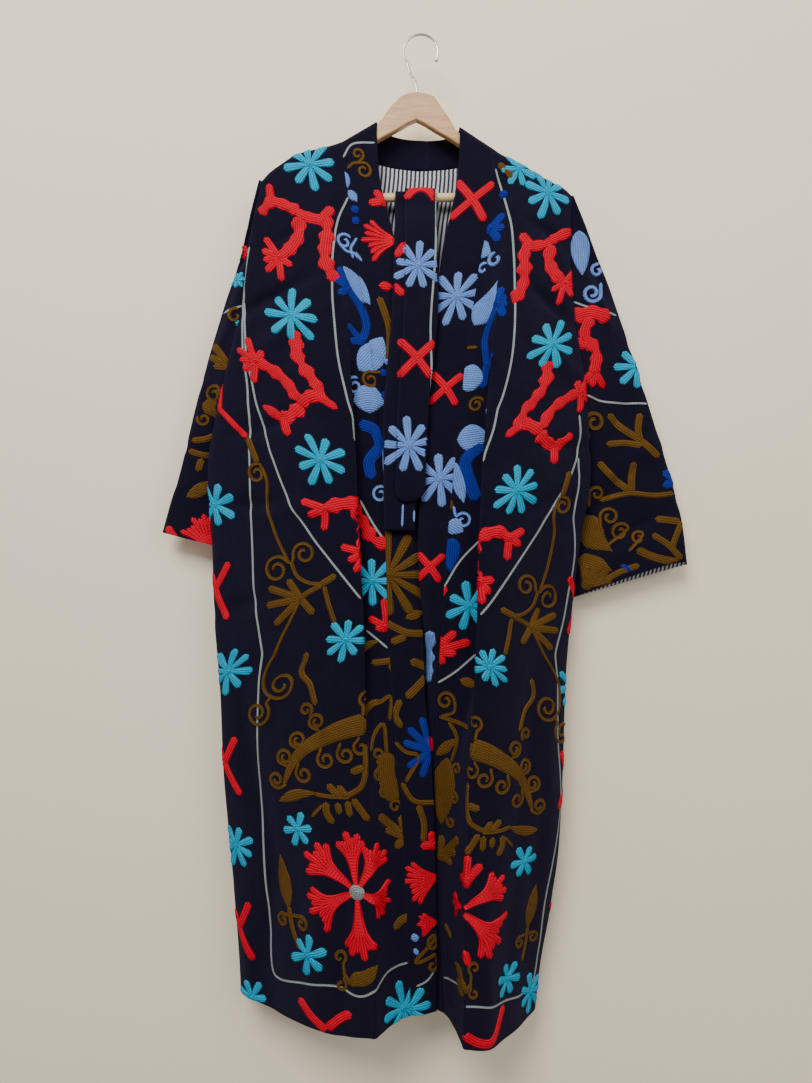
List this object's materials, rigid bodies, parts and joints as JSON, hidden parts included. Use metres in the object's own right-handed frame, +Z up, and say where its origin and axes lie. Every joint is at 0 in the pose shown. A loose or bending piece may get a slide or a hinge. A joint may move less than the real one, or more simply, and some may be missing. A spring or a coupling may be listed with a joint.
{
  "type": "embroidered robe on a wooden hanger",
  "caption": "Long open robe of dark embroidered cloth with wide sleeves and a neckband, on a wooden hanger, its belt hung over the hanger's bar.",
  "frame": {"origin": "inside top of the hanger's hook, where the hanger hangs", "axes": "+Z up along the robe's length, the robe's front faces -Y, +X to the viewer's right"},
  "size_m": [0.732, 0.1224, 1.3493],
  "materials": {
    "robe_cloth": "matt cotton with thick chain stitch",
    "striped_lining": "matt cotton, narrow navy and white stripes",
    "hanger_wood": "satin varnish",
    "hanger_bar": "bare turned wood",
    "hanger_hook": "polished wire"
  },
  "bodies": {
    "root": {"front_right": "robe_cloth", "front_left": "robe_cloth", "back": "robe_cloth", "band_right": "robe_cloth", "band_left": "robe_cloth", "sleeve_right": "robe_cloth", "sleeve_left": "robe_cloth", "belt": "robe_cloth", "lining_back": "striped_lining", "lining_cuff_left": "striped_lining", "hanger_wood": "hanger_wood", "hanger_bar": "hanger_bar", "hanger_hook": "hanger_hook"}
  },
  "joints": []
}
